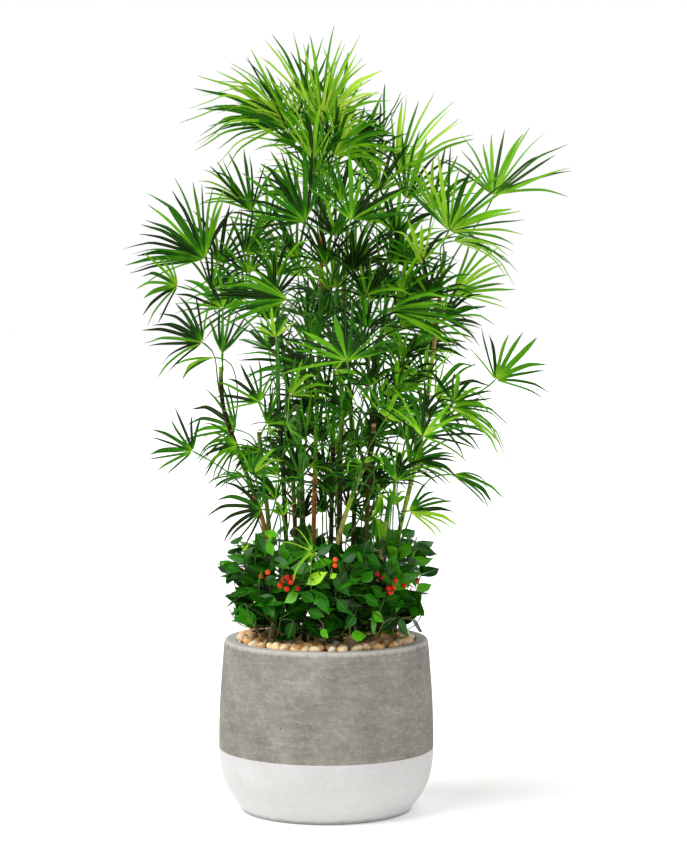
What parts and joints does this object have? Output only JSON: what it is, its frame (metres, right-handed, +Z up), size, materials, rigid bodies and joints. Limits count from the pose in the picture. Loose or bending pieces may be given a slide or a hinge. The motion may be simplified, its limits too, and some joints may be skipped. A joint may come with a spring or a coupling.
{
  "type": "potted lady palm",
  "caption": "Clump of slender palm canes with fan leaves and a skirt of berry shrubs, planted in a round two-tone concrete pot with a pebble mulch.",
  "frame": {"origin": "centre of the pot's underside, on the surface that the pot stands on", "axes": "+Z up along the pot's axis, -Y towards the side that the picture shows, +X to the right of that view"},
  "size_m": [0.9231, 0.7437, 1.5823],
  "materials": {
    "pot": "cast concrete, matt grey above a level line, smooth white dipped paint below it",
    "soil": "damp dark potting mix",
    "pebbles": "rounded tan and cream gravel, dry and smooth",
    "cane": "brown fibre sheaths, with green and tan joints",
    "palm_leaf": "living leaf, satin, dark to bright green",
    "shrub": "living leaf, waxy and glossy, deep green",
    "berry": "ripe berry, smooth and glossy, red to orange"
  },
  "bodies": {
    "root": {"planter_pot": "pot", "potting_soil": "soil", "pebble_mulch": "pebbles", "palm_cane_01": "cane", "palm_cane_02": "cane", "palm_cane_03": "cane", "palm_cane_04": "cane", "palm_cane_05": "cane", "palm_cane_06": "cane", "palm_cane_07": "cane", "palm_cane_08": "cane", "palm_cane_09": "cane", "palm_cane_10": "cane", "palm_cane_11": "cane", "palm_cane_12": "cane", "palm_cane_13": "cane", "palm_leaf_01": "palm_leaf", "palm_leaf_02": "palm_leaf", "palm_leaf_03": "palm_leaf", "palm_leaf_04": "palm_leaf", "palm_leaf_05": "palm_leaf", "palm_leaf_06": "palm_leaf", "palm_leaf_07": "palm_leaf", "palm_leaf_08": "palm_leaf", "palm_leaf_09": "palm_leaf", "palm_leaf_10": "palm_leaf", "palm_leaf_11": "palm_leaf", "palm_leaf_12": "palm_leaf", "palm_leaf_13": "palm_leaf", "palm_leaf_14": "palm_leaf", "palm_leaf_15": "palm_leaf", "palm_leaf_16": "palm_leaf", "palm_leaf_17": "palm_leaf", "palm_leaf_18": "palm_leaf", "palm_leaf_19": "palm_leaf", "palm_leaf_20": "palm_leaf", "palm_leaf_21": "palm_leaf", "palm_leaf_22": "palm_leaf", "palm_leaf_23": "palm_leaf", "palm_leaf_24": "palm_leaf", "palm_leaf_25": "palm_leaf", "palm_leaf_26": "palm_leaf", "palm_leaf_27": "palm_leaf", "palm_leaf_28": "palm_leaf", "palm_leaf_29": "palm_leaf", "palm_leaf_30": "palm_leaf", "palm_leaf_31": "palm_leaf", "palm_leaf_32": "palm_leaf", "palm_leaf_33": "palm_leaf", "palm_leaf_34": "palm_leaf", "palm_leaf_35": "palm_leaf", "palm_leaf_36": "palm_leaf", "berry_shrub_01": "shrub", "berry_shrub_02": "shrub", "berry_shrub_03": "shrub", "berry_shrub_04": "shrub", "berry_shrub_05": "shrub", "berry_shrub_06": "shrub", "berry_shrub_07": "shrub", "berry_shrub_08": "shrub"}
  },
  "joints": []
}
